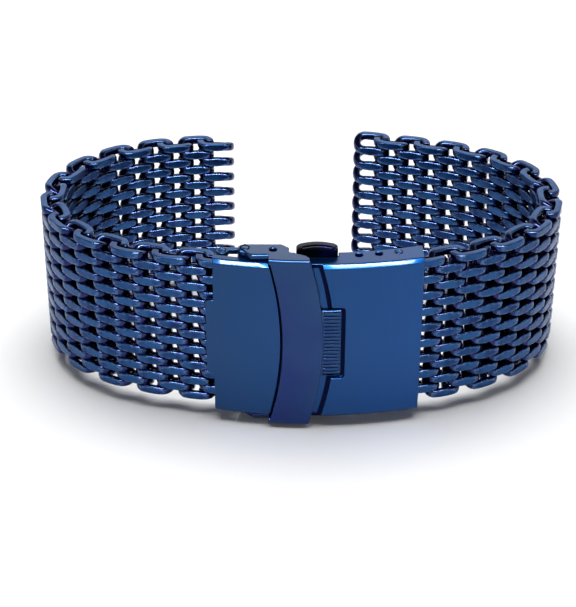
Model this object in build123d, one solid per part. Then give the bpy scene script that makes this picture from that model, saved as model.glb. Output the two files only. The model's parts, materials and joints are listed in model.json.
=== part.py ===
from build123d import *
import os
from math import cos, pi, radians, sin, sqrt

# Shark mesh bracelet with a fold-over clasp, closed and standing on its edge.
# Millimetres. X runs to the right as the clasp is faced, Y from the clasp towards the
# watch end, and Z runs up, across the band.

# Mesh
LINKS_PER_SIDE = 22
TURNS = 9
MESH_WIDTH = 21.6
MESH_THICKNESS = 3.2
LINK_LENGTH = 5.2
LINK_PITCH = 2.9
STRAND_LENGTH = 3.0
WIRE_DEPTH = 0.9
WIRE_HEIGHT = 1.0

# Rest bend from one link to the next, in degrees: a mean, a swing that is greatest
# half way round, and a lean from the clasp end to the watch end
BEND_RIGHT = (7.1, 6.1, 1.2)
BEND_LEFT = (7.9, 4.9, -1.1)
MOUTH_RIGHT = 11.5
MOUTH_LEFT = 8.0

# Clasp
COVER_LENGTH = 26.9
MESH_PLAY = 0.15
COVER_RADIUS = 54.0
SHEET = 0.7
EDGE_ROUND = 0.5
RIM_DEPTH = 1.5
FLANGE_DEPTH = 3.5
LIP_LENGTH = 1.0
LIP_WIDTH = 11.2
CHANNEL_DEPTH = 0.55
CHANNEL_MARGIN = 1.3
CHANNEL_BULGE = 1.95
POCKET_WIDTH = 10.8
POCKET_LENGTH = 4.65
HOLE_INSET = 3.18
HOLE_SPACING = 2.55
HOLES = 3
HOLE_DEPTH = 2.6
HINGE_INSET = 4.15
HINGE_DEPTH = 2.45
LUG_RADIUS = 0.95

# Safety bar, thumb tab and push buttons
BAR_START = 2.8
BAR_LENGTH = 5.35
BAR_BULGE = 1.8
BAR_SHEET = 0.8
EAR_SHEET = 0.8
EAR_DEPTH = 3.45
EAR_LENGTH = 5.6
DETENT_REACH = 3.55
TAB_WIDTH = 10.0
TAB_LENGTH = 4.05
TAB_SHEET = 0.4
TAB_RIBS = 19
BUTTON_LENGTH = 5.3
BUTTON_OFFSET = 1.0
BUTTON_DEPTH = 1.6
BUTTON_RISE = 1.5
BUTTON_NEAR = 2.5
BUTTON_TRAVEL = 0.6
BUTTON_SHOULDER = 1.25

# Folding blades
BLADE_SHEET = 0.7
BLADE_SAG = 0.6
BLADE_PIN_INSET = 2.15
BLADE_PIN_Y = 6.6
KNUCKLE_RADIUS = 0.85
KNUCKLE_WIDTH = 8.0
END_BAR_INSET = 1.25
END_BAR_DEPTH = 2.86
END_EAR_RADIUS = 0.85
CATCH_LENGTH = 4.0
CATCH_WIDTH = 12.0

# Pins and clearances
PIN_RADIUS = 0.5
ROD_SIDES = 12
BLADE_PIN_RADIUS = 0.45
BAR_RADIUS = 0.65
TIP_RADIUS = 0.45
RUNNING = 0.05
LINK_PLAY = 0.2
GAP = 0.1
OVERRUN = 2.0

# Sizes that follow
WIRE_PITCH = (MESH_WIDTH - WIRE_HEIGHT) / (TURNS - 0.5)
STRAND_TOP = (MESH_WIDTH - WIRE_HEIGHT) / 2
OUTER_R = MESH_THICKNESS / 2
OUTER_S = LINK_LENGTH / 2
INNER_R = OUTER_R - WIRE_DEPTH
STRAND_S = STRAND_LENGTH / 2
INNER_S = (LINK_PITCH + LINK_PLAY) / 2
SEAT_S = INNER_S - BAR_RADIUS - RUNNING
COVER_WIDTH = MESH_WIDTH + 2 * (SHEET + MESH_PLAY)
HALF = COVER_WIDTH / 2
HALF_IN = HALF - SHEET
HALF_EAR = HALF + GAP
HALF_OUT = HALF_EAR + EAR_SHEET
COVER_END = COVER_LENGTH / 2
HOLE_X = tuple(COVER_END - HOLE_INSET - HOLE_SPACING * count for count in reversed(range(HOLES)))
END_BAR_X = END_BAR_INSET - COVER_END
BLADE_PIN_X = COVER_END - BLADE_PIN_INSET
HINGE_X = HINGE_INSET - COVER_END
DETENT_X = HINGE_X + DETENT_REACH
EAR_END_X = HINGE_X + EAR_LENGTH
BAR_LEFT_X = HINGE_X + BAR_START
BAR_RIGHT_X = BAR_LEFT_X + BAR_LENGTH
CHANNEL_RIGHT_X = BAR_RIGHT_X + CHANNEL_MARGIN
POCKET_END_X = BAR_RIGHT_X + POCKET_LENGTH
TAB_END_X = BAR_RIGHT_X + TAB_LENGTH
BUTTON_X = BAR_RIGHT_X + BUTTON_OFFSET
BLADE_WIDTH = 2 * (HALF_IN - BUTTON_SHOULDER - BUTTON_TRAVEL - GAP)
MESH_EAR = HALF_IN - GAP
BLADE_EAR = MESH_EAR - BLADE_SHEET
BAR_PROUD = BAR_SHEET + GAP - CHANNEL_DEPTH


def front(x):
    """Depth of the cover's outer face at x, measured from its foremost line."""
    return COVER_RADIUS - sqrt(COVER_RADIUS ** 2 - x ** 2)


HINGE = (HINGE_X, front(HINGE_X) + HINGE_DEPTH)
CLASP_BAR = (HOLE_X[-1], front(HOLE_X[-1]) + HOLE_DEPTH)
END_BAR = (END_BAR_X, front(END_BAR_X) + END_BAR_DEPTH)
BLADE_PIN = (BLADE_PIN_X, BLADE_PIN_Y)


def plate(outline, low, high):
    """A flat outline in X and Y, raised from one height to another."""
    return Pos(0, 0, low) * extrude(outline, high - low)


def both(solid):
    """A solid of the upper edge with its twin on the lower edge."""
    return [solid, mirror(solid, Plane.XY)]


def rod(place, radius, low, high):
    """A round pin of small flats, whose corners lie on its radius."""
    return plate(Pos(*place) * RegularPolygon(radius, ROD_SIDES), low, high)


def eye(place, radius):
    """A round end of small flats, about the same centre as its pin."""
    return Pos(*place) * RegularPolygon(radius, ROD_SIDES)


def bore(place, radius, low, high):
    """A hole for a pin of this radius, whose flats clear the pin as it turns."""
    return plate(Pos(*place) * RegularPolygon(radius + RUNNING, ROD_SIDES, major_radius=False), low, high)


def curved(depth_from, depth_to, x_from, x_to, half):
    """A plate that follows the cover's curve between two depths."""
    ring = Circle(COVER_RADIUS - depth_from) - Circle(COVER_RADIUS - depth_to)
    middle = (x_from + x_to) / 2
    window = Pos(middle, -COVER_RADIUS) * Rectangle(x_to - x_from, COVER_RADIUS)
    return plate(Pos(0, COVER_RADIUS) * (ring & window), -half, half)


def from_front(outline):
    """An outline seen from the front, in X and Z, run through the whole clasp."""
    reach = COVER_RADIUS
    return extrude(Plane.XZ * outline, reach, both=True)


# Mesh links
def wire_section(end, side, z):
    """Upper, lower and inner corner of the wire at one end of a strand."""
    outer = (end * STRAND_S, side * OUTER_R)
    inner = (end * INNER_S, side * INNER_R)
    return (*outer, z + WIRE_HEIGHT / 2), (*outer, z - WIRE_HEIGHT / 2), (*inner, z)


def flat(*points):
    return Face(Wire.make_polygon(points, close=True))


def strand_faces(near, far):
    """Faces of one level strand: the pressed flat and two flanks."""
    (top_a, low_a, in_a), (top_b, low_b, in_b) = near, far
    return [flat(top_a, low_a, low_b, top_b), flat(top_a, top_b, in_b, in_a), flat(low_a, in_a, in_b, low_b)]


def bend_faces(near, far, end, z):
    """Faces of one bend, which drops half a pitch round the end of the loop."""
    (top_a, low_a, in_a), (top_b, low_b, in_b) = near, far
    top, low = (end * OUTER_S, 0, z + WIRE_HEIGHT / 2), (end * OUTER_S, 0, z - WIRE_HEIGHT / 2)
    faces = [flat(top_a, low_a, low, top), flat(top, low, low_b, top_b)]
    faces += [flat(top_a, top, in_a), flat(top, in_b, in_a), flat(top, top_b, in_b)]
    faces += [flat(low_a, in_a, low), flat(low, in_a, in_b), flat(low, in_b, low_b)]
    return faces


def make_link():
    """One flattened coil of wire, with its flats outward and its loops upright."""
    drop = WIRE_PITCH / 2
    faces, last = [], None
    for half_turn in range(2 * TURNS):
        z = STRAND_TOP - half_turn * drop
        side = -1 if half_turn % 2 == 0 else 1
        near, far = wire_section(side, side, z), wire_section(-side, side, z)
        faces += bend_faces(last, near, side, z + drop / 2) if last else [flat(*near)]
        faces += strand_faces(near, far)
        last = far
    return Solid(Shell(faces + [flat(*last)]))


def rest_bend(index, bend):
    """Angle from link index - 1 to this link, counted from the clasp."""
    mean, swing, lean = bend
    half = LINKS_PER_SIDE / 2
    wave = cos(2 * pi * (index - half) / LINKS_PER_SIDE)
    return mean + swing * wave + lean * (half - index) / half


def link_places(bar, mouth, bend, side):
    """Centre and heading of each link of one side, from the clasp to the watch end."""
    heading = mouth
    x, y = bar
    reach = SEAT_S
    places = []
    for index in range(LINKS_PER_SIDE):
        heading += rest_bend(index, bend) if index else 0
        along = (side * cos(radians(heading)), sin(radians(heading)))
        x, y = x + along[0] * reach, y + along[1] * reach
        places.append((x, y, side * heading))
        x, y = x + along[0] * LINK_PITCH / 2, y + along[1] * LINK_PITCH / 2
        reach = LINK_PITCH / 2
    return places


def make_mesh():
    """Every link in its place; each is turned half a turn against the one before."""
    link = make_link()
    links = {}
    sides = (("right", CLASP_BAR, MOUTH_RIGHT, BEND_RIGHT, 1), ("left", END_BAR, MOUTH_LEFT, BEND_LEFT, 0))
    for name, bar, mouth, bend, odd in sides:
        side = 1 if name == "right" else -1
        for index, (x, y, turn) in enumerate(link_places(bar, mouth, bend, side)):
            half_turn = 0 if index % 2 == odd else 180
            links[f"link_{name}_{index + 1:02d}"] = Pos(x, y, 0) * Rot(0, 0, turn + half_turn) * link
    return links


# Clasp cover
def cover_outline():
    """Front outline of the cover: a rectangle with a round-cornered lifting lip."""
    body = Rectangle(COVER_LENGTH, COVER_WIDTH)
    lip = Pos(-COVER_END, 0) * RectangleRounded(2 * LIP_LENGTH, LIP_WIDTH, LIP_LENGTH * 0.6)
    return body + lip


def cover_flange():
    """Outline of the flange: a shallow rim, the hinge lug and the hole strip."""
    end = COVER_END
    rim = curved_outline(0, RIM_DEPTH, -end, end)
    strip = curved_outline(0, FLANGE_DEPTH, HINGE_X + LUG_RADIUS, end)
    neck = Pos(HINGE_X, HINGE[1] / 2) * Rectangle(2 * LUG_RADIUS, HINGE[1])
    lug = eye(HINGE, LUG_RADIUS)
    return rim + strip + (neck & curved_outline(0, FLANGE_DEPTH * 2, -end, end)) + lug


def curved_outline(depth_from, depth_to, x_from, x_to):
    ring = Circle(COVER_RADIUS - depth_from) - Circle(COVER_RADIUS - depth_to)
    window = Pos((x_from + x_to) / 2, -COVER_RADIUS) * Rectangle(x_to - x_from, COVER_RADIUS)
    return Pos(0, COVER_RADIUS) * (ring & window)


def bowed_band(left_x, right_x, left_bulge, right_bulge, half):
    """Front outline of a band between two arcs that bow to the right."""
    left = ThreePointArc((left_x, -half), (left_x + left_bulge, 0), (left_x, half))
    right = ThreePointArc((right_x, half), (right_x + right_bulge, 0), (right_x, -half))
    return make_face([left, Line((left_x, half), (right_x, half)), right, Line((right_x, -half), (left_x, -half))])


def channel_outline(wall):
    """Channel that the safety bar lies in, with the pocket for its thumb tab."""
    band = bowed_band(BAR_LEFT_X - GAP - wall, CHANNEL_RIGHT_X + wall, BAR_BULGE, CHANNEL_BULGE, HALF_OUT)
    start, end = BAR_RIGHT_X, POCKET_END_X + wall
    pocket = Pos((start + end) / 2, 0) * RectangleRounded(end - start, POCKET_WIDTH + 2 * wall, EDGE_ROUND + wall)
    return band + pocket


def make_cover():
    face = curved(0, SHEET, -COVER_END - LIP_LENGTH, COVER_END, HALF) & from_front(cover_outline())
    flange = plate(cover_flange(), HALF_IN, HALF)
    cover = face + flange + mirror(flange, Plane.XY)
    bent = [edge for edge in cover.edges().filter_by(GeomType.CIRCLE)
            if abs(edge.radius - COVER_RADIUS) < GAP and abs(abs(edge.center().Z) - HALF) < GAP]
    cover = chamfer(bent, EDGE_ROUND)
    cover += curved(0, CHANNEL_DEPTH + SHEET, HINGE_X, HOLE_X[0], HALF_IN + GAP) & from_front(channel_outline(SHEET))
    cover -= curved(-OVERRUN, CHANNEL_DEPTH, HINGE_X, HOLE_X[0], HALF_OUT) & from_front(channel_outline(0))
    for place, radius in [(HINGE, PIN_RADIUS)] + [((x, front(x) + HOLE_DEPTH), TIP_RADIUS) for x in HOLE_X]:
        cover -= bore(place, radius, -HALF - OVERRUN, HALF + OVERRUN)
    notch = Pos(BUTTON_X, BUTTON_NEAR - GAP + FLANGE_DEPTH / 2) * Rectangle(BUTTON_LENGTH + 2 * GAP, FLANGE_DEPTH)
    return cover - plate(notch, -HALF - OVERRUN, HALF + OVERRUN)


# Safety bar
def tab_outline():
    start = BAR_RIGHT_X
    return Pos((start + TAB_END_X) / 2, 0) * Rectangle(TAB_END_X - start, TAB_WIDTH)


def tab_grooves():
    """Ribs across the thumb tab, as evenly spaced cuts in its face."""
    pitch = TAB_WIDTH / TAB_RIBS
    cutter = Rectangle(TAB_END_X - BAR_RIGHT_X - BAR_BULGE, pitch / 2)
    x = (TAB_END_X + BAR_RIGHT_X + BAR_BULGE) / 2 + GAP
    cuts = [Pos(x, (index - (TAB_RIBS - 1) / 2) * pitch) * cutter for index in range(TAB_RIBS)]
    return from_front(Sketch() + cuts)


def ear_outline():
    """Plan of an ear: from the front band back to the round end on the hinge."""
    reach = front(HINGE_X) + EAR_DEPTH
    low = HINGE[1] - LUG_RADIUS
    step_x = HINGE_X + LUG_RADIUS
    arm = make_face(Polyline(
        (HINGE_X, HINGE[1] + LUG_RADIUS), (EAR_END_X - LUG_RADIUS, reach - GAP), (EAR_END_X, reach - LUG_RADIUS),
        (EAR_END_X, BUTTON_NEAR - 3 * GAP), (BAR_RIGHT_X - EDGE_ROUND, BUTTON_NEAR / 2), (BAR_RIGHT_X, BUTTON_NEAR / 4),
        (BAR_RIGHT_X, -BAR_SHEET), (BAR_LEFT_X, -BAR_SHEET), (BAR_LEFT_X, low - LUG_RADIUS), (step_x, low - LUG_RADIUS),
        (HINGE_X, low), close=True))
    band = Pos(0, COVER_RADIUS) * Circle(COVER_RADIUS + BAR_PROUD)
    return (arm & band) + eye(HINGE, LUG_RADIUS)


def make_safety_bar():
    back = CHANNEL_DEPTH - GAP
    band = from_front(bowed_band(BAR_LEFT_X, BAR_RIGHT_X, BAR_BULGE, BAR_BULGE, HALF_OUT))
    bar = curved(-BAR_PROUD, back, BAR_LEFT_X - OVERRUN, TAB_END_X, HALF_OUT) & band
    tab = curved(back - TAB_SHEET, back, BAR_RIGHT_X, TAB_END_X, HALF_OUT) & from_front(tab_outline())
    ribs = curved(-OVERRUN, back - TAB_SHEET / 2, BAR_RIGHT_X, TAB_END_X + OVERRUN, HALF)
    bar += tab - (ribs & tab_grooves())
    ear = plate(ear_outline(), HALF_EAR, HALF_OUT)
    ear -= bore(HINGE, PIN_RADIUS, HALF_EAR - OVERRUN, HALF_OUT + OVERRUN)
    ear -= bore((DETENT_X, front(DETENT_X) + HINGE_DEPTH), TIP_RADIUS, HALF_EAR - OVERRUN, HALF_OUT + OVERRUN)
    return bar + ear + mirror(ear, Plane.XY)


# Folding blades
def strip_outline(start, end):
    """Plan of a bent strip: its outer face runs from start to end on an arc."""
    middle = ((start[0] + end[0]) / 2, (start[1] + end[1]) / 2 - BLADE_SAG)
    back = [(x, y + BLADE_SHEET) for x, y in (end, middle, start)]
    return make_face([ThreePointArc(start, middle, end), Line(end, back[0]), ThreePointArc(*back), Line(back[2], start)])


def pin_hole(solid, place, radius):
    return solid - bore(place, radius, -HALF_OUT, HALF_OUT)


def barrel_outline(tongue_y):
    """Plan of a knuckle: a circle on the blade pin joined to its own strip."""
    tongue = Pos(BLADE_PIN_X - KNUCKLE_RADIUS / 2, tongue_y) * Rectangle(KNUCKLE_RADIUS, BLADE_SHEET)
    return eye(BLADE_PIN, KNUCKLE_RADIUS) + tongue


def make_inner_blade():
    start = (HINGE_X + LUG_RADIUS - GAP, HINGE[1] - PIN_RADIUS / 2)
    end = (BLADE_PIN_X - KNUCKLE_RADIUS, BLADE_PIN_Y - KNUCKLE_RADIUS)
    blade = plate(strip_outline(start, end), -BLADE_WIDTH / 2, BLADE_WIDTH / 2)
    catch_half = CATCH_LENGTH / 2 + 4 * GAP
    window = Pos(-GAP, 0) * Rectangle(2 * catch_half + 4 * GAP, CATCH_WIDTH + 8 * GAP)
    blade -= from_front(window)
    ear = eye(HINGE, LUG_RADIUS - GAP) + Pos(start[0], start[1] + BLADE_SHEET / 2) * Rectangle(
        2 * LUG_RADIUS, BLADE_SHEET)
    wing = plate(ear, BLADE_WIDTH / 2 - BLADE_SHEET, MESH_EAR)
    blade = blade + wing + mirror(wing, Plane.XY)
    slot = plate(eye(HINGE, LUG_RADIUS + GAP), -BLADE_EAR, BLADE_EAR)
    blade -= slot
    half = KNUCKLE_WIDTH / 2
    blade += plate(barrel_outline(end[1] + BLADE_SHEET / 2), -half, half)
    beside = plate(eye(BLADE_PIN, KNUCKLE_RADIUS + GAP), half, BLADE_WIDTH / 2 + OVERRUN)
    blade = blade - beside - mirror(beside, Plane.XY)
    blade = pin_hole(blade, HINGE, PIN_RADIUS)
    return pin_hole(blade, BLADE_PIN, BLADE_PIN_RADIUS)


def make_outer_blade():
    start = (HINGE_X - LUG_RADIUS / 2, HINGE[1] + LUG_RADIUS + GAP)
    end = (BLADE_PIN_X - KNUCKLE_RADIUS, BLADE_PIN_Y + KNUCKLE_RADIUS - BLADE_SHEET)
    blade = plate(strip_outline(start, end), -BLADE_WIDTH / 2, BLADE_WIDTH / 2)
    arm = eye(END_BAR, END_EAR_RADIUS)
    bridge_x = (END_BAR_X + HINGE_X) / 2 + LUG_RADIUS
    arm += Pos(bridge_x, start[1] + BLADE_SHEET / 2) * Rectangle(HINGE_X - END_BAR_X + LUG_RADIUS, BLADE_SHEET)
    ear = plate(arm, HALF_IN, HALF)
    shoulder = plate(Pos(HINGE_X + LUG_RADIUS / 2, start[1] + BLADE_SHEET / 2) * Rectangle(
        2 * LUG_RADIUS, BLADE_SHEET), -HALF, HALF)
    blade = blade + shoulder + ear + mirror(ear, Plane.XY)
    half = KNUCKLE_WIDTH / 2 + GAP
    knuckle_side = plate(barrel_outline(end[1] + BLADE_SHEET / 2), half, BLADE_WIDTH / 2)
    blade = blade + knuckle_side + mirror(knuckle_side, Plane.XY)
    blade -= plate(eye(BLADE_PIN, KNUCKLE_RADIUS + GAP), -half, half)
    blade = pin_hole(blade, END_BAR, TIP_RADIUS)
    return pin_hole(blade, BLADE_PIN, BLADE_PIN_RADIUS)


def catch_foot():
    """Depth at which the catch stands on the outer blade, at the middle of the clasp."""
    return blade_face(0)


def blade_face(x):
    start = (HINGE_X - LUG_RADIUS / 2, HINGE[1] + LUG_RADIUS + GAP)
    end = (BLADE_PIN_X - KNUCKLE_RADIUS, BLADE_PIN_Y + KNUCKLE_RADIUS - BLADE_SHEET)
    share = (x - start[0]) / (end[0] - start[0])
    return start[1] + (end[1] - start[1]) * share - 4 * BLADE_SAG * share * (1 - share)


def make_catch():
    """Post on the outer blade that comes up through the inner one to the buttons."""
    top = BUTTON_NEAR + GAP
    foot = catch_foot() + BLADE_SHEET / 2
    post = Pos(0, (top + foot) / 2, 0) * Box(CATCH_LENGTH, foot - top, CATCH_WIDTH)
    return post - make_outer_blade_strip()


def make_outer_blade_strip():
    start = (HINGE_X - LUG_RADIUS / 2, HINGE[1] + LUG_RADIUS + GAP)
    end = (BLADE_PIN_X - KNUCKLE_RADIUS, BLADE_PIN_Y + KNUCKLE_RADIUS - BLADE_SHEET)
    return plate(strip_outline(start, end), -BLADE_WIDTH / 2, BLADE_WIDTH / 2)


# Buttons, pins and spring bars
def make_button():
    """Push button: a domed head outside the flange, and a shouldered stem inside."""
    head_low = BLADE_WIDTH / 2 + BUTTON_TRAVEL + GAP
    y = BUTTON_NEAR + BUTTON_DEPTH / 2
    head = Pos(BUTTON_X, y, (head_low + HALF + BUTTON_RISE) / 2) * Box(
        BUTTON_LENGTH, BUTTON_DEPTH, HALF + BUTTON_RISE - head_low)
    head = fillet(head.edges().group_by(Axis.Z)[-1], EDGE_ROUND)
    stem_low = CATCH_WIDTH / 2 + BUTTON_TRAVEL + GAP
    stem = Pos(BUTTON_X, BUTTON_NEAR + BLADE_SHEET / 2, (stem_low + head_low) / 2) * Box(
        CATCH_LENGTH, BLADE_SHEET, head_low - stem_low)
    shoulder_high = HALF_IN - GAP
    shoulder = Pos(BUTTON_X, y, (shoulder_high + head_low) / 2) * Box(
        BUTTON_LENGTH + 2 * SHEET, BUTTON_DEPTH, shoulder_high - head_low)
    return head + stem + shoulder


def make_spring_bar(place):
    body = rod(place, BAR_RADIUS, -HALF_IN + GAP, HALF_IN - GAP)
    return body + rod(place, TIP_RADIUS, -HALF - RUNNING, HALF + RUNNING)


def make_parts():
    pins = both(rod(HINGE, PIN_RADIUS, BLADE_EAR, HALF_OUT + RUNNING))
    button = make_button()
    parts = {
        "cover": make_cover(),
        "safety_bar": make_safety_bar(),
        "hinge_pins": Compound(children=pins),
        "blade_inner": make_inner_blade(),
        "blade_pin": rod(BLADE_PIN, BLADE_PIN_RADIUS, -BLADE_WIDTH / 2, BLADE_WIDTH / 2),
        "blade_outer": make_outer_blade(),
        "catch": make_catch(),
        "spring_bar_right": make_spring_bar(CLASP_BAR),
        "spring_bar_left": make_spring_bar(END_BAR),
        "button_top": button,
        "button_bottom": mirror(button, Plane.XY),
    }
    parts.update(make_mesh())
    return parts


def stand_centred(parts):
    """Move the closed bracelet so that it stands on z = 0, centred on its own box."""
    boxes = [solid.bounding_box() for solid in parts.values()]
    x = min(box.min.X for box in boxes) + max(box.max.X for box in boxes)
    y = min(box.min.Y for box in boxes) + max(box.max.Y for box in boxes)
    z = min(box.min.Z for box in boxes)
    return {name: Pos(-x / 2, -y / 2, -z) * solid for name, solid in parts.items()}


if __name__ == "__main__":
    os.makedirs("parts", exist_ok=True)
    for name, solid in stand_centred(make_parts()).items():
        export_step(solid, f"parts/{name}.step")
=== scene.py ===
import bpy
import json
import bmesh
from math import copysign, cos, pi, radians, sin, sqrt
from mathutils import Matrix, Vector


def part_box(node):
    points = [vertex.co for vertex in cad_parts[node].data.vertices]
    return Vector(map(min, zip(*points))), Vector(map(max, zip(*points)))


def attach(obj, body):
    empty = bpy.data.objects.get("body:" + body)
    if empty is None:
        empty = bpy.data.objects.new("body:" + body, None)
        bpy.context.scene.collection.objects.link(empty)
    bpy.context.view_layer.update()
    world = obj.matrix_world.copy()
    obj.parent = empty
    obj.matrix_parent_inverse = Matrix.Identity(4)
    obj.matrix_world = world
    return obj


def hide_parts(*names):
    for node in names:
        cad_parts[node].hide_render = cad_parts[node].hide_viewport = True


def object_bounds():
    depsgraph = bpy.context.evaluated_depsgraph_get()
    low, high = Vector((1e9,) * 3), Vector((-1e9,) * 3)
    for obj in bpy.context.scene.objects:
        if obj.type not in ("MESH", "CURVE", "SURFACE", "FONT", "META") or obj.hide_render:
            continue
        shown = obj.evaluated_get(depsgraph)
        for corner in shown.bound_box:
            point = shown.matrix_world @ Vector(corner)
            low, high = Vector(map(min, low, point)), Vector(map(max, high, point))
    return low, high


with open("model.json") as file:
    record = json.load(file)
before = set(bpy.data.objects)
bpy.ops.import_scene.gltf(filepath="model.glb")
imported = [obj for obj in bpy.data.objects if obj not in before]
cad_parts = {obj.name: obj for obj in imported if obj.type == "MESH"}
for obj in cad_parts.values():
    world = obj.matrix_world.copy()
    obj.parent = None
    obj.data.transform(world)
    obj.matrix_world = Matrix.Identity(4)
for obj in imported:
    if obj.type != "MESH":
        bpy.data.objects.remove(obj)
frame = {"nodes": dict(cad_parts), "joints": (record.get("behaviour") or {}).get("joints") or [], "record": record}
CAD_BOX = [list(corner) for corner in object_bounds()]

bl_info = {
    "name": "Shark mesh watch bracelet",
    "version": (1, 0, 0),
    "blender": (4, 5, 0),
    "location": "View3D > Sidebar > Bracelet",
    "description": "Dresses the CAD model of a blue steel mesh bracelet with a folding clasp",
    "category": "Object",
}

MM = 0.001

# How the meshes are cut up
STRAND_STEPS, BEND_STEPS, END_STEPS = 8, 12, 6      # steps of a strand, a bend and a cut end
TIP_SHARE, TIP_DEPTH = 0.82, 0.06                   # a cut wire end's chamfer: its share, and mm
DOME_STRIPS, DOME_DEPTH = 12, 1.2                   # a button's dome: its strips, and mm

# How the CAD parts' faces and edges are told apart
EDGE_ANGLE = radians(30)            # edges sharper than this are rounded
FLAT_ANGLE = radians(0.5)           # faces that differ by less are joined
FACING, BOWED = 0.9, 0.7            # share of a normal along an axis, on a flat and a bowed face
FINE_SHARE = 0.2                    # rounding of fine details, as a share of the usual one
CHANNEL_DEPTH = (0.4, 0.7)          # mm from the cover's bowed front to the channel's floor
BAR_THICKNESS = 1.2                 # mm, over which the bar's left edge is set back
RIB_SIDE = 0.5                      # mm2, more than the side of one of the tab's ribs
TAB_REACH = 2.0                     # mm from the bar's right end in which the ribs lie

# Grain of the finishes: its spacing in mm along x, y and z, drawn coarser than the real
# grain, which is too fine to show
BLASTED = (0.15, 0.15, 0.15)
TUMBLED = (0.3, 0.3, 0.3)
SCRATCHED = (0.8, 0.12, 0.12)
POLISHED = (0.2, 0.2, 0.2)
RINGED = (2.0, 2.0, 0.05)

JOINTS = {joint["name"]: joint for joint in frame["joints"]}
MOUNTS = {mount["name"]: mount for mount in frame["record"]["mounts"]}
COILS_PER_SIDE = sum(name.startswith("link_right_") for name in frame["nodes"])
IMAGE = (576, 607)                  # pixels of the picture
SENSOR = 36                         # mm, the camera's sensor
FLOOR_HALF = 6                      # metres, half the floor's width


# Settings

class MeshSettings(bpy.types.PropertyGroup):
    """Sizes of the coiled wire, in millimetres."""
    strands: bpy.props.IntProperty(
        name="Strands", description="Strands of one coil on both faces together", default=18)
    first_height: bpy.props.FloatProperty(
        name="First strand", description="Height of the first strand above the middle",
        default=10.3)
    wire_depth: bpy.props.FloatProperty(
        name="Wire depth", description="Half the wire's thickness, seen from above", default=0.52)
    wire_height: bpy.props.FloatProperty(
        name="Wire height", description="Half the wire's height in its bends", default=0.61)
    strand_height: bpy.props.FloatProperty(
        name="Strand height", description="Half the height of a strand at its middle", default=0.66)
    grind: bpy.props.FloatProperty(
        name="Grind", description="How much of the wire the grinding takes off each face",
        default=0.09)
    swell: bpy.props.FloatProperty(
        name="Swell", description="How far a strand bows out before its face is ground",
        default=0.08)
    squareness: bpy.props.FloatProperty(
        name="Squareness", description="2 is a round wire, and more is squarer", default=2.5)
    sides: bpy.props.IntProperty(
        name="Sides", description="Sides of the wire", default=18, min=8)
    face: bpy.props.FloatProperty(
        name="Face", description="Distance of the ground faces from the band's middle", default=1.6)
    rim: bpy.props.FloatProperty(
        name="Rim", description="Height of the ground rims above the middle", default=10.74)
    reach: bpy.props.FloatProperty(
        name="Reach", description="Half the length of a coil along the band", default=2.66)
    bend_length: bpy.props.FloatProperty(
        name="Bend length", description="Length of a bend along the band, on the wire's centre",
        default=1.05)
    end_wrap: bpy.props.FloatProperty(
        name="End wrap", description="How far the cut wire ends curl round",
        default=radians(97), subtype="ANGLE")


class ClaspSettings(bpy.types.PropertyGroup):
    """Sizes of the clasp's finish, in millimetres."""
    plate_edge: bpy.props.FloatProperty(
        name="Plate edge", description="Rounding of the plates' cut edges", default=0.12)
    button_dome: bpy.props.FloatProperty(
        name="Button dome", description="How far a button's end falls away to its sides",
        default=0.5)
    button_edge: bpy.props.FloatProperty(
        name="Button edge", description="Rounding of the push buttons", default=0.35)
    lip: bpy.props.FloatProperty(
        name="Lip", description="How far the cover's lip stands out at its left end", default=1.0)
    bow_radius: bpy.props.FloatProperty(
        name="Bow", description="Radius of the cover's bowed front", default=54.0)
    corner: bpy.props.FloatProperty(
        name="Corner", description="Width of the strip of painted shade along the channel's walls",
        default=0.55)
    bar_fold: bpy.props.FloatProperty(
        name="Bar fold", description="Rounding of the safety bar's folds", default=0.35)
    bar_gap: bpy.props.FloatProperty(
        name="Bar gap", description="How far the bar's left edge is set back", default=0.15)
    steps: bpy.props.IntProperty(
        name="Steps", description="Steps in each rounded edge", default=3, min=1)


class FinishSettings(bpy.types.PropertyGroup):
    """Colours of the blue plating, and of painted light and shade, as sRGB hex values."""
    wire: bpy.props.StringProperty(
        name="Wire", description="Polished round side of the wire", default="#162a58")
    wire_tint: bpy.props.StringProperty(
        name="Wire tint", description="Where the plating on the wire turns violet",
        default="#201f56")
    ground: bpy.props.StringProperty(
        name="Ground face", description="Flat ground face of a strand", default="#244b7c")
    painted_edge_highlight: bpy.props.StringProperty(
        name="Edge highlight", description="Edge of a ground face, lighter: a painted highlight",
        default="#456088")
    plate: bpy.props.StringProperty(
        name="Plate", description="Satin cover and folding blades", default="#103a68")
    painted_light_plate_end: bpy.props.StringProperty(
        name="Plate end", description="Satin cover at its right end, lighter: painted light", default="#0c427e")
    bar: bpy.props.StringProperty(
        name="Bar", description="Satin safety bar", default="#0a2864")
    recess: bpy.props.StringProperty(
        name="Recess", description="Painted shade in the channel's corners, which no light reaches",
        default="#0c1030")
    button: bpy.props.StringProperty(
        name="Button", description="Dark push buttons", default="#06070c")
    pin: bpy.props.StringProperty(
        name="Pin", description="Turned pins and spring bars", default="#2f5080")


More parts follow.
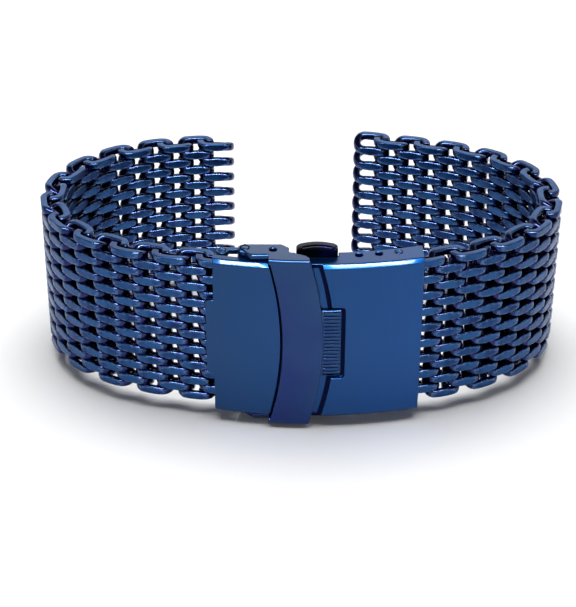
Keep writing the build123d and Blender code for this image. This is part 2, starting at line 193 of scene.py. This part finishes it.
class StageSettings(bpy.types.PropertyGroup):
    """Camera, lamps and floor."""
    elevation: bpy.props.FloatProperty(
        name="Elevation", description="Camera's height angle",
        default=radians(31.73), subtype="ANGLE")
    turn: bpy.props.FloatProperty(
        name="Turn", description="Camera's turn about the upright",
        default=radians(-0.97), subtype="ANGLE")
    roll: bpy.props.FloatProperty(
        name="Roll", description="Camera's roll", default=radians(0.27), subtype="ANGLE")
    distance: bpy.props.FloatProperty(
        name="Distance", description="Camera to target", default=0.2537, unit="LENGTH")
    target: bpy.props.FloatVectorProperty(
        name="Target", description="Point at the middle of the picture",
        default=(-0.00174, 0.00053, 0.00675), unit="LENGTH")
    focal: bpy.props.FloatProperty(
        name="Focal length", description="In pixels of the picture", default=1807.6)
    strip: bpy.props.FloatProperty(
        name="Strip", description="Long narrow lamp over the front", default=3.3, unit="POWER")
    soft: bpy.props.FloatProperty(
        name="Soft", description="Wide lamp overhead", default=2.15, unit="POWER")
    back: bpy.props.FloatProperty(
        name="Back", description="Low lamp behind, for the level faces", default=0.3, unit="POWER")


# Small helpers

def srgb(code):
    """Turns an sRGB hex value into Blender's linear colour."""
    channels = [int(code[i:i + 2], 16) / 255 for i in (1, 3, 5)]
    return [c / 12.92 if c <= 0.04045 else ((c + 0.055) / 1.055) ** 2.4 for c in channels] + [1]


def add_node(tree, kind, inputs, **settings):
    """Adds a node with its settings; an input is a value or another node's output."""
    made = tree.nodes.new(kind)
    for name, value in settings.items():
        setattr(made, name, value)
    for name, value in inputs.items():
        if isinstance(value, bpy.types.NodeSocket):
            tree.links.new(value, made.inputs[name])
        else:
            made.inputs[name].default_value = value
    return made


def new_piece(name, mesh, node):
    """Links a mesh into the scene as a piece that stands for a CAD node."""
    piece = bpy.data.objects.new(name, mesh)
    bpy.context.scene.collection.objects.link(piece)
    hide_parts(node)
    return piece


def seen_share(tree, ray):
    """1 where the camera, a reflection or clear material looks, and 0 for light that falls."""
    seen = add_node(tree, "ShaderNodeMath", {
        0: ray.outputs["Is Camera Ray"], 1: ray.outputs["Is Glossy Ray"]}, operation="MAXIMUM")
    also = add_node(tree, "ShaderNodeMath", {
        0: seen.outputs["Value"], 1: ray.outputs["Is Transmission Ray"]}, operation="MAXIMUM")
    return also.outputs["Value"]


# Finishes

def plated_metal(name, colour, tint, tint_size, roughness, grain, grain_depth, coat, reach=None):
    """Blue plated steel: a base colour that drifts to a tint, over a fine grain.

    tint_size is the size in millimetres of the drifts in colour; grain is the grain's
    spacing in millimetres along x, y and z; roughness is its lowest and highest value.
    With a reach, the colour turns to the tint from the one x to the other instead.
    """
    made = bpy.data.materials.new(name)
    made.use_nodes = True
    tree = made.node_tree
    tree.nodes.clear()
    place = add_node(tree, "ShaderNodeTexCoord", {}).outputs["Object"]
    if tint == colour:
        base = srgb(colour)
    else:
        if reach:
            drift = add_node(tree, "ShaderNodeSeparateXYZ", {0: place}).outputs["X"]
        else:
            drift = add_node(tree, "ShaderNodeTexNoise", {
                "Vector": place, "Scale": 1 / (tint_size * MM), "Detail": 2.0}).outputs["Fac"]
            reach = (0.4, 0.65)     # the noise lies mostly between these
        share = add_node(tree, "ShaderNodeMapRange", {
            "Value": drift, "From Min": reach[0], "From Max": reach[1]})
        mix = add_node(tree, "ShaderNodeMix", {
            "Factor": share.outputs["Result"], 6: srgb(colour), 7: srgb(tint)}, data_type="RGBA")
        base = mix.outputs[2]
    stretched = add_node(tree, "ShaderNodeMapping", {
        "Vector": place, "Scale": [1 / (spacing * MM) for spacing in grain]})
    lines = add_node(tree, "ShaderNodeTexNoise", {
        "Vector": stretched.outputs["Vector"], "Scale": 1.0, "Detail": 3.0, "Roughness": 0.6})
    rough = add_node(tree, "ShaderNodeMapRange", {
        "Value": lines.outputs["Fac"], "From Min": 0.3, "From Max": 0.7,
        "To Min": roughness[0], "To Max": roughness[1]})
    relief = add_node(tree, "ShaderNodeBump", {
        "Height": lines.outputs["Fac"], "Distance": grain_depth * MM, "Strength": 0.6})
    shader = add_node(tree, "ShaderNodeBsdfPrincipled", {
        "Base Color": base, "Metallic": 1.0, "Roughness": rough.outputs["Result"],
        "Normal": relief.outputs["Normal"], "Coat Weight": coat, "Coat Roughness": 0.12})
    add_node(tree, "ShaderNodeOutputMaterial", {"Surface": shader.outputs["BSDF"]})
    return made


# The mesh

def bend_points(settings, side, start, stop, height, drop, steps):
    """Centre points of a bend; its angle is 0 at the outer strand and 180 degrees at the inner."""
    depth = settings.face - settings.wire_depth + settings.grind
    straight = settings.reach - settings.wire_depth - settings.bend_length
    points = []
    for step in range(steps + 1):
        angle = start + (stop - start) * step / steps
        fall = (1 - cos(pi * step / steps)) / 2
        points.append((Vector((side * (straight + settings.bend_length * sin(angle)),
                               -depth * cos(angle), height - drop * fall)), 0.0))
    return points


def coil_path(settings):
    """Centre points of one coil, each with its share of the strand's swell."""
    depth = settings.face - settings.wire_depth + settings.grind
    straight = settings.reach - settings.wire_depth - settings.bend_length
    drop = 2 * settings.first_height / (settings.strands - 1)
    wrap = settings.end_wrap
    points = bend_points(settings, -1, wrap, 0, settings.first_height, 0, END_STEPS)[:-1]
    for strand in range(settings.strands):
        outer = strand % 2 == 0
        face, run = (-1, 1) if outer else (1, -1)
        height = settings.first_height - strand * drop
        for step in range(STRAND_STEPS + 1):
            along = 2 * step / STRAND_STEPS - 1
            share = 1 - along ** 2
            points.append((Vector((run * straight * along,
                                   face * (depth + settings.swell * share), height)), share))
        if strand < settings.strands - 1:
            start, stop = (0, pi) if outer else (pi, 0)
            points += bend_points(settings, run, start, stop, height, drop, BEND_STEPS)[1:-1]
    end = bend_points(settings, -1, pi, pi - wrap, -settings.first_height, 0, END_STEPS)
    return points + end[1:]


def wire_ring(settings, centre, along, share):
    """Points round the wire at one place, each marked if the grinding reaches it."""
    up = (Vector((0, 0, 1)) - along * along.z).normalized()
    out = along.cross(up)
    half_height = settings.wire_height + (settings.strand_height - settings.wire_height) * share
    power = 2 / settings.squareness
    ring = []
    for side in range(settings.sides):
        angle = 2 * pi * (side + 0.5) / settings.sides
        point = (centre
                 + out * copysign(settings.wire_depth * abs(cos(angle)) ** power, cos(angle))
                 + up * copysign(half_height * abs(sin(angle)) ** power, sin(angle)))
        ground = abs(point.y) > settings.face or abs(point.z) > settings.rim
        point.y = max(-settings.face, min(settings.face, point.y))
        point.z = max(-settings.rim, min(settings.rim, point.z))
        ring.append((point, ground))
    return ring


def coil_mesh(name, settings, turned):
    """One coil as a mesh, about its own middle; a turned coil starts on the inner face."""
    path = coil_path(settings)
    made = bmesh.new()
    rings, marks = [], []
    for index, (centre, share) in enumerate(path):
        before, after = path[max(index - 1, 0)][0], path[min(index + 1, len(path) - 1)][0]
        ring = wire_ring(settings, centre, (after - before).normalized(), share)
        rings.append([made.verts.new(point * MM) for point, ground in ring])
        marks.append([ground for point, ground in ring])
    sides = settings.sides
    for index in range(len(rings) - 1):
        for side in range(sides):
            other = (side + 1) % sides
            face = made.faces.new((rings[index][side], rings[index][other],
                                   rings[index + 1][other], rings[index + 1][side]))
            face.smooth = True
            ground = (marks[index][side], marks[index][other],
                      marks[index + 1][other], marks[index + 1][side])
            # Faces partly on a ground face take the edge finish, whose light colour is a painted highlight.
            face.material_index = 1 if all(ground) else 2 if any(ground) else 0
    for ring, outward in ((rings[0], path[0][0] - path[1][0]),
                          (rings[-1], path[-1][0] - path[-2][0])):
        middle = sum((vert.co for vert in ring), Vector()) / sides
        push = outward.normalized() * TIP_DEPTH * MM
        inner = [made.verts.new(middle + (vert.co - middle) * TIP_SHARE + push) for vert in ring]
        for side in range(sides):
            other = (side + 1) % sides
            made.faces.new((ring[side], inner[side], inner[other], ring[other])).smooth = True
        made.faces.new(inner)
    if turned:
        bmesh.ops.rotate(made, verts=made.verts, matrix=Matrix.Rotation(pi, 3, "Z"))
    bmesh.ops.recalc_face_normals(made, faces=made.faces)
    mesh = bpy.data.meshes.new(name)
    made.to_mesh(mesh)
    made.free()
    return mesh


def coil_places(side):
    """Centre of each coil of one side and its direction along the band, from the frame's hinges."""
    names = [f"bar_hinge_{side}"] + [
        f"mesh_hinge_{side}_{number:02d}" for number in range(1, COILS_PER_SIDE)]
    hinges = [Vector(JOINTS[name]["pos_m"]) for name in names]
    hinges.append(Vector(MOUNTS[f"watch_bar_{side}"]["pos_m"]))
    reach = (hinges[2] - hinges[1]).length / 2
    places = []
    for index in range(COILS_PER_SIDE):
        along = (hinges[index + 1] - hinges[index]).normalized()
        centre = hinges[index + 1] - along * reach
        if index == COILS_PER_SIDE - 1:
            centre = hinges[index] + along * reach
        places.append((centre, along))
    return places


class BRACELET_OT_mesh(bpy.types.Operator):
    """Winds the coils of the mesh and hooks them into each other"""
    bl_idname = "bracelet.mesh"
    bl_label = "Mesh coils"

    def execute(self, context):
        settings, colours = context.scene.bracelet_mesh, context.scene.bracelet_finish
        # Plated steel wire, tumbled: mirror-like streaks that drift from blue to violet.
        wire = plated_metal("Plated steel wire, tumbled", colours.wire, colours.wire_tint,
                            1.2, (0.16, 0.26), TUMBLED, 0.004, 0.35)
        # Ground face: fine scratches along the band make it satin; its colour is set lighter than the wire's.
        ground = plated_metal("Plated steel wire, ground flat", colours.ground, colours.wire,
                              2.5, (0.28, 0.4), SCRATCHED, 0.004, 0.1)
        # Edge of the ground face: a thin light grey line, a painted highlight where the edge would catch the
        # light.
        painted_edge_highlight = plated_metal("Plated steel wire, painted edge highlight", colours.painted_edge_highlight, colours.ground,
                            0.8, (0.22, 0.34), TUMBLED, 0.002, 0.1)
        shapes = []
        for turned in (False, True):
            mesh = coil_mesh("coil_turned" if turned else "coil", settings, turned)
            for material in (wire, ground, painted_edge_highlight):
                mesh.materials.append(material)
            shapes.append(mesh)
        for side in ("right", "left"):
            for index, (centre, along) in enumerate(coil_places(side)):
                body = f"link_{side}_{index + 1:02d}"
                across = along if side == "right" else -along
                turned = (index % 2 == 0) == (side == "right")
                piece = new_piece(
                    f"coil_{side}_{index + 1:02d}", shapes[turned], body)
                piece.matrix_world = Matrix.Translation(centre) @ Matrix((
                    (across.x, -across.y, 0, 0), (across.y, across.x, 0, 0),
                    (0, 0, 1, 0), (0, 0, 0, 1)))
                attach(piece, body)
        return {"FINISHED"}


# The clasp

def folded(line):
    """Tells if an edge lies where the front turns into an ear."""
    normals = [face.normal for face in line.link_faces]
    return (any(normal.y < -FACING for normal in normals)
            and any(abs(normal.z) > FACING for normal in normals))


def rounded_copy(name, node, body, materials, edge, steps,
                 shape_more=None, fold=None):
    """A copy of a CAD part with its flat faces joined and its edges rounded.

    fold is the wider rounding of the edges where the front is folded over. shape_more
    changes the shape first, and returns the corners of any detail too fine for the rounding.
    """
    mesh = frame["nodes"][node].data.copy()
    mesh.name = name
    mesh.materials.clear()
    for material in materials:
        mesh.materials.append(material)
    shape = bmesh.new()
    shape.from_mesh(mesh)
    bmesh.ops.remove_doubles(shape, verts=shape.verts, dist=0.001 * MM)
    bmesh.ops.dissolve_limit(
        shape, angle_limit=FLAT_ANGLE, verts=shape.verts, edges=shape.edges)
    for face in shape.faces:
        face.material_index = 0
    fine = (shape_more(shape) if shape_more else None) or set()
    weight = shape.edges.layers.float.new("bevel_weight_edge")
    for face in shape.faces:
        face.smooth = True
    for line in shape.edges:
        if len(line.link_faces) == 2 and line.calc_face_angle() > EDGE_ANGLE:
            wanted = fold if fold and folded(line) else edge
            if fine.issuperset(line.verts):
                wanted = FINE_SHARE * edge
            line[weight] = wanted / (fold or edge)
    shape.to_mesh(mesh)
    shape.free()
    piece = new_piece(name, mesh, node)
    bevel = piece.modifiers.new("Rounded edges", "BEVEL")
    bevel.width = (fold or edge) * MM
    bevel.segments = steps
    bevel.limit_method = "WEIGHT"
    bevel.use_clamp_overlap = False
    bevel.harden_normals = True
    weighted = piece.modifiers.new("Weighted normals", "WEIGHTED_NORMAL")
    weighted.keep_sharp = True
    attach(piece, body)
    return piece


class BRACELET_OT_cover(bpy.types.Operator):
    """Makes the bowed cover plate with its channel and flanges"""
    bl_idname = "bracelet.cover"
    bl_label = "Cover"

    def execute(self, context):
        settings, colours = context.scene.bracelet_clasp, context.scene.bracelet_finish
        # Satin plated steel: a soft blast grain that blurs every reflection. Its colour turns lighter from the
        # cover's left end to its right end: painted light.
        low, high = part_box("cover")
        satin = plated_metal("Plated steel sheet, satin", colours.plate, colours.painted_light_plate_end,
                             14.0, (0.34, 0.42), BLASTED, 0.003, 0.35, (low.x, high.x))
        # Corners of the pressed channel: painted shade, nearly black, for the deep corners that catch little
        # light.
        recess = plated_metal("Plated steel sheet, painted corner shade", colours.recess, colours.recess,
                              14.0, (0.5, 0.6), BLASTED, 0.003, 0.0)
        apex = (low.x + high.x + settings.lip * MM) / 2
        bow = settings.bow_radius * MM

        def paint_corner_shade(shape):
            """Sets a strip of the channel's floor along its walls apart, for painted shade."""
            floor = []
            for face in shape.faces:
                place = face.calc_center_median()
                front = low.y + bow - sqrt(bow ** 2 - (place.x - apex) ** 2)
                depth = (place.y - front) / MM
                if face.normal.y < -BOWED and CHANNEL_DEPTH[0] < depth < CHANNEL_DEPTH[1]:
                    floor.append(face)
            border = bmesh.ops.inset_region(
                shape, faces=floor, thickness=settings.corner * MM, use_even_offset=True)
            # The strip takes the nearly black material: painted shade in the channel's corners.
            for face in border["faces"]:
                face.material_index = 1

        rounded_copy("cover_plate", "cover", "cover", (satin, recess),
                     settings.plate_edge, settings.steps, paint_corner_shade)
        for node, body in (("blade_inner", "blade_inner"), ("blade_outer", "blade_outer"),
                           ("catch", "blade_outer")):
            rounded_copy(node + "_plate", node, body, (satin,),
                         settings.plate_edge, settings.steps)
        return {"FINISHED"}


class BRACELET_OT_safety_bar(bpy.types.Operator):
    """Makes the safety bar with its ears and ribbed tab"""
    bl_idname = "bracelet.safety_bar"
    bl_label = "Safety bar"

    def execute(self, context):
        settings, colours = context.scene.bracelet_clasp, context.scene.bracelet_finish
        # Satin plated steel, one shade more violet than the cover beside it.
        satin = plated_metal("Plated steel bar, satin", colours.bar, colours.plate,
                             14.0, (0.32, 0.4), BLASTED, 0.003, 0.45)
        low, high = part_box("safety_bar")

        def widen_gap(shape):
            """Sets the band's left edge back from the channel's wall, and finds the tab's ribs."""
            walls = [face for face in shape.faces if face.normal.x < -FACING
                     and face.calc_center_median().y < low.y + BAR_THICKNESS * MM]
            for vert in {vert for face in walls for vert in face.verts}:
                vert.co.x += settings.bar_gap * MM
            return {vert for face in shape.faces for vert in face.verts
                    if abs(face.normal.z) > FACING and face.calc_area() < RIB_SIDE * MM ** 2
                    and face.calc_center_median().x > high.x - TAB_REACH * MM}

        rounded_copy("safety_bar_plate", "safety_bar", "safety_bar", (satin,),
                     settings.plate_edge, settings.steps, widen_gap, settings.bar_fold)
        return {"FINISHED"}


class BRACELET_OT_buttons(bpy.types.Operator):
    """Makes the two push buttons"""
    bl_idname = "bracelet.buttons"
    bl_label = "Push buttons"

    def execute(self, context):
        settings, colours = context.scene.bracelet_clasp, context.scene.bracelet_finish
        # Dark plated steel, polished: nearly black, with small sharp lights.
        dark = plated_metal("Plated steel button, polished", colours.button, colours.recess,
                            3.0, (0.26, 0.34), POLISHED, 0.002, 0.05)
        for end, side in (("top", 1), ("bottom", -1)):
            node = f"button_{end}"
            low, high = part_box(node)
            middle = (low.x + high.x) / 2
            face = high.z if side == 1 else low.z

            def dome(shape):
                """Cuts the end into strips and lets them fall away to both sides."""
                depth = DOME_DEPTH * MM
                for cut in range(1, DOME_STRIPS):
                    place = low.x + (high.x - low.x) * cut / DOME_STRIPS
                    bmesh.ops.bisect_plane(
                        shape, geom=shape.verts[:] + shape.edges[:] + shape.faces[:],
                        plane_co=(place, 0, 0), plane_no=(1, 0, 0))
                head = [vert for vert in shape.verts if abs(vert.co.z - face) < depth]
                half = max(abs(vert.co.x - middle) for vert in head)
                for vert in head:
                    share = (vert.co.x - middle) / half
                    rise = 1 - abs(vert.co.z - face) / depth
                    vert.co.z -= side * settings.button_dome * MM * share ** 2 * rise

            rounded_copy(f"push_button_{end}", node, node, (dark,),
                         settings.button_edge, settings.steps + 1, shape_more=dome)
        return {"FINISHED"}


class BRACELET_OT_pins(bpy.types.Operator):
    """Makes the hinge pins and the spring bars"""
    bl_idname = "bracelet.pins"
    bl_label = "Pins and spring bars"

    def execute(self, context):
        settings, colours = context.scene.bracelet_clasp, context.scene.bracelet_finish
        # Turned steel, thinly plated: bright rings round the ends.
        turned = plated_metal("Steel pin, turned", colours.pin, colours.plate,
                              1.5, (0.3, 0.38), RINGED, 0.002, 0.1)
        for node, body in (("hinge_pins", "cover"), ("spring_bar_right", "cover"),
                           ("spring_bar_left", "blade_outer"), ("blade_pin", "blade_outer")):
            rounded_copy(node + "_turned", node, body, (turned,),
                         settings.plate_edge, settings.steps)
        return {"FINISHED"}


# The stage

class BRACELET_OT_stage(bpy.types.Operator):
    """Sets the floor, the lamps and the camera"""
    bl_idname = "bracelet.stage"
    bl_label = "Stage"

    def execute(self, context):
        scene, settings = context.scene, context.scene.bracelet_stage
        scene.view_settings.view_transform = "Standard"
        self.make_floor(scene)
        self.make_world(scene)
        self.make_lamps(scene, settings)
        self.make_camera(scene, settings)
        return {"FINISHED"}

    def make_floor(self, scene):
        """Lays a sheet of white paper under the bracelet."""
        shape = bmesh.new()
        bmesh.ops.create_grid(shape, x_segments=1, y_segments=1, size=FLOOR_HALF)
        mesh = bpy.data.meshes.new("floor")
        shape.to_mesh(mesh)
        shape.free()
        floor = bpy.data.objects.new("floor", mesh)
        scene.collection.objects.link(floor)
        # White paper: matt, with a little light of its own so that the picture's ground is white.
        paper = bpy.data.materials.new("Paper sheet, matt white")
        paper.use_nodes = True
        tree = paper.node_tree
        tree.nodes.clear()
        matt = add_node(tree, "ShaderNodeBsdfDiffuse", {"Color": srgb("#f4f4f4")})
        glow = add_node(tree, "ShaderNodeEmission", {"Color": srgb("#ffffff"), "Strength": 0.03})
        dark = add_node(tree, "ShaderNodeEmission", {"Color": srgb("#000000"), "Strength": 0.0})
        share = seen_share(tree, add_node(tree, "ShaderNodeLightPath", {}))
        pick = add_node(tree, "ShaderNodeMixShader", {
            0: share, 1: dark.outputs["Emission"], 2: glow.outputs["Emission"]})
        both = add_node(tree, "ShaderNodeAddShader", {
            0: matt.outputs["BSDF"], 1: pick.outputs["Shader"]})
        add_node(tree, "ShaderNodeOutputMaterial", {"Surface": both.outputs["Shader"]})
        mesh.materials.append(paper)

    def make_world(self, scene):
        """Sets the white studio that the camera and the steel see."""
        world = scene.world or bpy.data.worlds.new("studio")
        scene.world = world
        world.use_nodes = True
        tree = world.node_tree
        tree.nodes.clear()
        ray = add_node(tree, "ShaderNodeLightPath", {})
        # The steel sees a studio that is white up to a height and dark above, which models
        # the wires' upper sides. To the camera it is all white.
        place = add_node(tree, "ShaderNodeTexCoord", {}).outputs["Generated"]
        height = add_node(tree, "ShaderNodeSeparateXYZ", {0: place}).outputs["Z"]
        ceiling = add_node(tree, "ShaderNodeMapRange", {
            "Value": height, "From Min": 0.4, "From Max": 0.65, "To Min": 1.0, "To Max": 0.06})
        dim = add_node(tree, "ShaderNodeBackground", {"Color": srgb("#ffffff"), "Strength": 0.08})
        shown = add_node(tree, "ShaderNodeMath", {
            0: ceiling.outputs["Result"], 1: ray.outputs["Is Camera Ray"]}, operation="MAXIMUM")
        white = add_node(tree, "ShaderNodeBackground", {
            "Color": srgb("#ffffff"), "Strength": shown.outputs["Value"]})
        pick = add_node(tree, "ShaderNodeMixShader", {
            0: seen_share(tree, ray), 1: dim.outputs["Background"],
            2: white.outputs["Background"]})
        add_node(tree, "ShaderNodeOutputWorld", {"Surface": pick.outputs["Shader"]})

    def make_lamps(self, scene, settings):
        """Hangs the lamps; each has its offset from the bracelet, its size and its power."""
        centre = sum((Vector(corner) for corner in CAD_BOX), Vector()) / 2
        # Strip and back lamp show in the steel alone: the floor keeps the wide lamp's shadow.
        lamps = (("lamp_strip", (0, -0.19, 0.33), (0.32, 0.03), settings.strip, False),
                 ("lamp_back", (0, 0.36, 0.22), (0.5, 0.15), settings.back, False),
                 ("lamp_top", (0, 0.05, 0.35), (0.36, 0.36), settings.soft, True))
        for name, offset, size, power, on_floor in lamps:
            light = bpy.data.lights.new(name, "AREA")
            light.shape = "RECTANGLE"
            light.size, light.size_y = size
            light.energy = power
            lamp = bpy.data.objects.new(name, light)
            lamp.location = centre + Vector(offset)
            lamp.rotation_euler = (-Vector(offset)).to_track_quat("-Z", "Y").to_euler()
            lamp.visible_diffuse, lamp.visible_glossy = on_floor, not on_floor
            scene.collection.objects.link(lamp)

    def make_camera(self, scene, settings):
        """Aims along the angles that were fitted to the photograph's outline."""
        up, turn, roll = settings.elevation, settings.turn, settings.roll
        right = Vector((cos(turn), sin(turn), 0))
        level = Vector((-sin(turn), cos(turn), 0))
        ahead = level * cos(up) - Vector((0, 0, sin(up)))
        above = level * sin(up) + Vector((0, 0, cos(up)))
        right, above = right * cos(roll) + above * sin(roll), above * cos(roll) - right * sin(roll)
        data = bpy.data.cameras.new("camera")
        data.sensor_width = SENSOR
        data.lens = settings.focal / max(IMAGE) * SENSOR
        camera = bpy.data.objects.new("camera", data)
        place = Vector(settings.target) - ahead * settings.distance
        camera.matrix_world = Matrix((
            (right.x, above.x, -ahead.x, place.x), (right.y, above.y, -ahead.y, place.y),
            (right.z, above.z, -ahead.z, place.z), (0, 0, 0, 1)))
        data.clip_start, data.clip_end = 0.01, 20
        scene.collection.objects.link(camera)
        scene.camera = camera


class BRACELET_PT_panel(bpy.types.Panel):
    """Lists the bracelet's settings and steps"""
    bl_idname = "BRACELET_PT_panel"
    bl_label = "Mesh bracelet"
    bl_space_type = "VIEW_3D"
    bl_region_type = "UI"
    bl_category = "Bracelet"

    def draw(self, context):
        for name, steps in GROUPS.items():
            box = self.layout.box()
            settings = getattr(context.scene, name)
            for key in settings.__annotations__:
                box.prop(settings, key)
            for step in steps:
                box.operator(step.bl_idname)


GROUPS = {
    "bracelet_mesh": (BRACELET_OT_mesh,),
    "bracelet_clasp": (BRACELET_OT_cover, BRACELET_OT_safety_bar, BRACELET_OT_buttons,
                       BRACELET_OT_pins),
    "bracelet_finish": (),
    "bracelet_stage": (BRACELET_OT_stage,),
}
SETTINGS = {
    "bracelet_mesh": MeshSettings, "bracelet_clasp": ClaspSettings,
    "bracelet_finish": FinishSettings, "bracelet_stage": StageSettings,
}
CLASSES = (MeshSettings, ClaspSettings, FinishSettings, StageSettings, BRACELET_OT_mesh,
           BRACELET_OT_cover, BRACELET_OT_safety_bar, BRACELET_OT_buttons, BRACELET_OT_pins,
           BRACELET_OT_stage, BRACELET_PT_panel)


def register():
    for cls in CLASSES:
        bpy.utils.register_class(cls)
    for name, kind in SETTINGS.items():
        setattr(bpy.types.Scene, name, bpy.props.PointerProperty(type=kind))


def unregister():
    for name in SETTINGS:
        delattr(bpy.types.Scene, name)
    for cls in reversed(CLASSES):
        bpy.utils.unregister_class(cls)


def main():
    register()
    bpy.ops.bracelet.mesh()
    bpy.ops.bracelet.cover()
    bpy.ops.bracelet.safety_bar()
    bpy.ops.bracelet.buttons()
    bpy.ops.bracelet.pins()
    bpy.ops.bracelet.stage()


if __name__ == "__main__":
    main()
